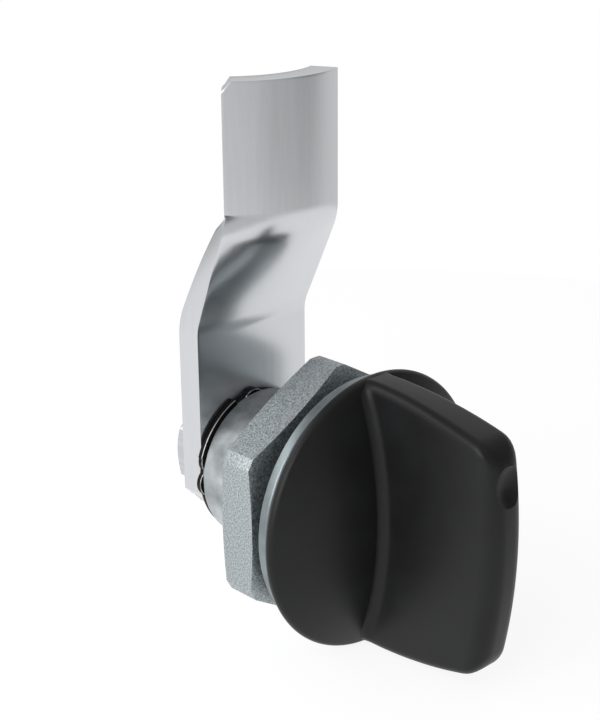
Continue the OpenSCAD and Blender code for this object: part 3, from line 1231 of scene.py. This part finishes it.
@dataclass
class CamScrew:
    """The hexagon-head screw that holds the cam."""

    shank_start: float = 10.52
    shank_r: float = 3.0
    shank_point: float = 0.4
    head_start: float = 20.32
    head_across: float = 10.0
    head_h: float = 4.3
    chamfer: float = 0.5
    edge: float = 0.1
    sharp: float = 25.0
    blunt: float = 24.0
    head_steps: int = 180
    shank_steps: int = 96

    def build(self) -> None:
        """Models and dresses the screw."""
        start, top, flat = self.head_start, self.head_start + self.head_h, self.head_across / 2.0
        corner = flat / math.cos(math.pi / 6.0)
        piece = prism("cam_screw_turned", 6, corner, start - CLEAR, top + CLEAR)
        side = top - self.chamfer
        head = [(0.0, start), (corner + CLEAR, start), (corner, side), (flat, top), (0.0, top)]
        combine(piece, turned("turning", head, self.head_steps), Cut.INTERSECT)
        shank = [
            (0.0, self.shank_start),
            (self.shank_r - self.shank_point, self.shank_start),
            (self.shank_r, self.shank_start + self.shank_point),
            (self.shank_r, start + self.head_h / 2.0),
            (0.0, start + self.head_h / 2.0),
        ]
        combine(piece, turned("shank", shank, self.shank_steps), Cut.UNION)
        round_edges(piece, self.edge, self.sharp)
        shade(piece, self.blunt)
        FASTENER_STEEL.dress(piece)
        settle(piece, Body.ROTOR, "cam_screw")


@dataclass
class InnerPieces:
    """CAD nodes whose shape stays as it is, and that only take a finish."""

    finishes: tuple[tuple[str, Finish], ...] = (
        ("spindle", FASTENER_STEEL),
        ("lock_washer", FASTENER_STEEL),
        ("panel_seal", SEAL_RUBBER),
        ("shaft_o_ring", SEAL_RUBBER),
    )

    def build(self) -> None:
        """Dresses each node."""
        for node, finish in self.finishes:
            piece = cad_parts[node]
            piece.data.materials.clear()
            finish.dress(piece)
            LOG.info("%s keeps its solid, in %s", node, finish.name)


@dataclass(frozen=True)
class Card:
    """A soft card of the studio: its direction, the angles where it is full and gone, and its level."""

    towards: tuple[float, float, float]
    inner: float
    outer: float
    level: float


@dataclass(frozen=True)
class Softbox:
    """A soft lamp that faces the latch: its name, place, width and height, and power in watts."""

    name: str
    place: tuple[float, float, float]
    size: Point
    watts: float


@dataclass
class Studio:
    """Floor, soft light and the camera of the photograph."""

    azimuth: float = -43.573
    elevation: float = 20.21
    roll: float = -0.521
    distance: float = 166.128
    shift_right: float = -6.151
    shift_up: float = 15.483
    focal_px: float = 1517.55
    sensor: float = 36.0
    clip_start: float = 10.0
    floor_r: float = 140.0
    floor_steps: int = 96
    paper: float = 0.8
    floor_white: float = 1.12
    floor_share: float = 0.78
    dim: float = 0.55
    cards: tuple[Card, ...] = (
        Card((-0.9, 0.4, 0.0), 30.0, 80.0, 1.0),
        Card((0.95, 0.1, -0.3), 15.0, 60.0, 0.75),
        Card((-0.6, -0.7, -0.3), 10.0, 45.0, 0.7),
        Card((0.6, 0.7, 0.4), 10.0, 40.0, 0.65),
        Card((0.0, 0.68, 0.73), 8.0, 30.0, 0.28),
        Card((0.65, -0.6, 0.45), 10.0, 45.0, 0.2),
        Card((-0.5, -0.65, 0.57), 12.0, 29.0, 0.03),
        Card((0.65, 0.46, 0.6), 8.0, 24.0, 0.9),
    )
    lamps: tuple[Softbox, ...] = (
        Softbox("left_softbox", (-220.0, -40.0, 120.0), (180.0, 180.0), 0.3),
        Softbox("top_strip", (-110.0, 170.0, 142.0), (200.0, 60.0), 0.08),
    )
    aim: tuple[float, float, float] = (0.0, 5.0, 10.0)

    def axes(self) -> tuple[Vector, Vector, Vector]:
        """Works out how the camera is turned.

        Returns:
            Its right, up and back directions.
        """
        around, above, roll = (math.radians(a) for a in (self.azimuth, self.elevation, self.roll))
        back = Vector(
            (math.sin(around) * math.cos(above), -math.cos(around) * math.cos(above), math.sin(above))
        )
        level = Vector((math.cos(around), math.sin(around), 0.0))
        upright = back.cross(level)
        right = level * math.cos(roll) + upright * math.sin(roll)
        up = upright * math.cos(roll) - level * math.sin(roll)
        return right, up, back

    def camera(self) -> None:
        """Sets up the camera, whose axis passes the latch axis at a small shift."""
        right, up, back = self.axes()
        data = bpy.data.cameras.new("photo_camera")
        data.sensor_fit = "AUTO"
        data.sensor_width = self.sensor
        data.lens = self.focal_px * self.sensor / PHOTO_HEIGHT
        data.clip_start = self.clip_start * MM
        camera = bpy.data.objects.new("photo_camera", data)
        place = (back * self.distance + right * self.shift_right + up * self.shift_up) * MM
        turn = Matrix((right, up, back)).transposed().to_4x4()
        camera.matrix_world = Matrix.Translation(place) @ turn
        bpy.context.scene.collection.objects.link(camera)
        bpy.context.scene.camera = camera

    def hang(self, softbox: Softbox) -> None:
        """Hangs a soft lamp that faces the latch.

        Args:
            softbox: The lamp.
        """
        data = bpy.data.lights.new(softbox.name, "AREA")
        data.shape = "RECTANGLE"
        data.size, data.size_y = metres(*softbox.size)
        data.energy = softbox.watts
        lamp = bpy.data.objects.new(softbox.name, data)
        lamp.location = metres(*softbox.place)
        towards = Vector(metres(*self.aim)) - lamp.location
        lamp.rotation_euler = towards.to_track_quat("-Z", "Y").to_euler()
        bpy.context.scene.collection.objects.link(lamp)

    def world(self) -> None:
        """Surrounds the latch with a pale studio and its cards, white to the camera."""
        world = bpy.data.worlds.new("pale_studio")
        bpy.context.scene.world = world
        world.use_nodes = True
        tree = world.node_tree
        tree.nodes.clear()
        place = add_node(tree, "ShaderNodeTexCoord").outputs["Generated"]
        level = add_node(tree, "ShaderNodeValue")
        level.outputs[0].default_value = self.dim
        glow = level.outputs[0]
        for card in self.cards:
            near = add_node(
                tree,
                "ShaderNodeVectorMath",
                {"operation": "DOT_PRODUCT"},
                values={1: Vector(card.towards).normalized()},
                links={0: place},
            )
            share = add_node(
                tree,
                "ShaderNodeMapRange",
                {"interpolation_type": "SMOOTHSTEP"},
                values={
                    "From Min": math.cos(math.radians(card.outer)),
                    "From Max": math.cos(math.radians(card.inner)),
                },
                links={"Value": near.outputs["Value"]},
            )
            glow = add_node(
                tree,
                "ShaderNodeMix",
                {"data_type": "FLOAT"},
                values={"B": card.level},
                links={"Factor": share.outputs["Result"], "A": glow},
            ).outputs["Result"]
        studio = add_node(tree, "ShaderNodeBackground", values={"Color": WHITE}, links={"Strength": glow})
        white = add_node(tree, "ShaderNodeBackground", values={"Color": WHITE, "Strength": 1.0})
        rays = add_node(tree, "ShaderNodeLightPath")
        mix = add_node(
            tree,
            "ShaderNodeMixShader",
            links={0: rays.outputs["Is Camera Ray"], 1: studio.outputs[0], 2: white.outputs[0]},
        )
        add_node(tree, "ShaderNodeOutputWorld", links={"Surface": mix.outputs[0]})

    def floor(self, height: float) -> None:
        """Lays the pale floor, white to the camera and in reflections but for the latch's shadow.

        Args:
            height: Height of the floor.
        """
        deselect()
        bpy.ops.mesh.primitive_circle_add(
            vertices=self.floor_steps,
            radius=self.floor_r * MM,
            fill_type="NGON",
            location=metres(0.0, 0.0, height),
        )
        piece = bpy.context.object
        piece.name = "studio_floor"
        material = bpy.data.materials.new("white paper sweep")
        material.use_nodes = True
        tree = material.node_tree
        tree.nodes.clear()
        paper = add_node(tree, "ShaderNodeBsdfDiffuse", values={"Color": grey(self.paper)})
        white = add_node(tree, "ShaderNodeEmission", values={"Color": WHITE, "Strength": self.floor_white})
        rays = add_node(tree, "ShaderNodeLightPath")
        seen = rays.outputs["Is Camera Ray"]
        for name in ("Is Glossy Ray", "Is Transmission Ray"):
            seen = add_node(
                tree, "ShaderNodeMath", {"operation": "MAXIMUM"}, links={0: seen, 1: rays.outputs[name]}
            ).outputs[0]
        share = add_node(
            tree, "ShaderNodeMath", {"operation": "MULTIPLY"}, values={1: self.floor_share}, links={0: seen}
        )
        mix = add_node(
            tree,
            "ShaderNodeMixShader",
            links={0: share.outputs[0], 1: paper.outputs[0], 2: white.outputs[0]},
        )
        add_node(tree, "ShaderNodeOutputMaterial", links={"Surface": mix.outputs[0]})
        piece.data.materials.append(material)
        piece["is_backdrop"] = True

    def build(self, lowest: float) -> None:
        """Sets up the whole studio.

        Args:
            lowest: Height of the latch's lowest point.
        """
        self.camera()
        self.world()
        self.floor(lowest)
        for softbox in self.lamps:
            self.hang(softbox)
        bpy.context.scene.view_settings.view_transform = "Standard"


def plain(box: Sequence[Vector]) -> list[list[float]]:
    """Turns a box into plain lists of numbers."""
    return [[float(value) for value in corner] for corner in box]


def main() -> None:
    """Builds the latch piece by piece, then the studio."""
    logging.basicConfig(level=logging.INFO, format="%(message)s")
    solids = plain(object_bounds())
    for part in (WingKnob(), Housing(), HexNut(), StopDisc(), Cam(), CamScrew(), InnerPieces()):
        part.build()
    Studio().build(solids[0][2] / MM)


if __name__ == "__main__":
    main()
